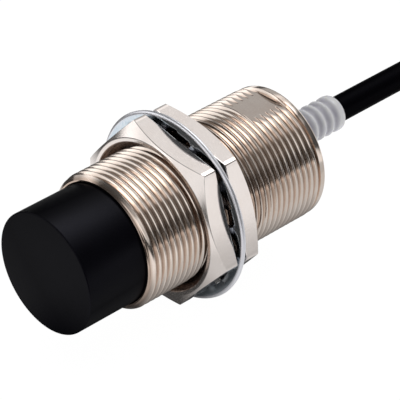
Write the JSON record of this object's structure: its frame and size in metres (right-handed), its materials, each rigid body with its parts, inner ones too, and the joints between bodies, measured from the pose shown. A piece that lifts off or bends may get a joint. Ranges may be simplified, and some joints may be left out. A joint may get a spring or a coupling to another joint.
{
  "type": "proximity sensor",
  "caption": "Cylindrical inductive proximity sensor with a protruding sensing cap, threaded metal barrel, clamping nuts, toothed washer and moulded-in cable.",
  "frame": {"origin": "middle of the sensing face", "axes": "+X along the barrel from the sensing face towards the cable, +Z the side with the milled flat"},
  "size_m": [0.144, 0.042, 0.042],
  "materials": {
    "cap_plastic": "satin black moulded plastic",
    "seal_rubber": "soft black rubber",
    "ferrite": "sintered, matt dark grey",
    "bobbin_plastic": "moulded natural plastic",
    "coil_copper": "enamelled copper wire",
    "board_laminate": "green glass-epoxy laminate",
    "chip_epoxy": "moulded epoxy",
    "resistor_ceramic": "ceramic chips",
    "capacitor_ceramic": "tan ceramic chips",
    "led_lens": "tinted clear lamp",
    "solder": "bright solder",
    "resin": "cast epoxy resin",
    "plated_brass": "nickel plated, machined thread",
    "plated_nut": "nickel plated, smooth machined faces",
    "zinc_steel": "bright zinc plated spring steel",
    "plug_plastic": "moulded black plastic",
    "guide_clear": "clear moulded light guide",
    "boot_rubber": "translucent whitish soft plastic",
    "clamp_metal": "crimped steel",
    "cable_sheath": "satin black cable sheath",
    "core_brown": "brown wire insulation",
    "core_black": "black wire insulation",
    "core_blue": "blue wire insulation",
    "bare_copper": "bare copper strand"
  },
  "bodies": {
    "sensor": {"sensing_cap": "cap_plastic", "cap_seal": "seal_rubber", "ferrite_core": "ferrite", "coil_bobbin": "bobbin_plastic", "coil_winding": "coil_copper", "coil_leads": "coil_copper", "coil_carrier": "bobbin_plastic", "circuit_board": "board_laminate", "oscillator_chip": "chip_epoxy", "output_transistor": "chip_epoxy", "board_resistors": "resistor_ceramic", "board_capacitors": "capacitor_ceramic", "protection_diodes": "chip_epoxy", "indicator_led": "led_lens", "solder_joints": "solder", "potting_resin": "resin", "threaded_barrel": "plated_brass", "rear_plug": "plug_plastic", "plug_seal": "seal_rubber", "light_guide": "guide_clear", "cable_boot": "boot_rubber", "clamp_ring": "clamp_metal", "cable_jacket": "cable_sheath", "brown_core": "core_brown", "black_core": "core_black", "blue_core": "core_blue", "copper_conductors": "bare_copper"},
    "washer": {"toothed_washer": "zinc_steel"},
    "front_nut": {"front_nut": "plated_nut"},
    "rear_nut": {"rear_nut": "plated_nut"}
  },
  "joints": [
    {"name": "washer_slide", "type": "slide", "parent": "sensor", "child": "washer", "axis": [1, 0, 0], "range_m": [-0.0128, 0.0196]},
    {"name": "front_nut_turn", "type": "hinge", "parent": "washer", "child": "front_nut", "pos_m": [0.0312, 0, 0], "axis": [1, 0, 0], "range_deg": [-3060, 4680]},
    {"name": "rear_nut_turn", "type": "hinge", "parent": "washer", "child": "rear_nut", "pos_m": [0.0389, 0, 0], "axis": [1, 0, 0], "range_deg": [-3060, 4680]}
  ],
  "couplings": [
    {"joint": "washer_slide", "follows": "front_nut_turn", "m_per_rad": 0.00023873},
    {"joint": "rear_nut_turn", "follows": "front_nut_turn", "ratio": 1}
  ]
}
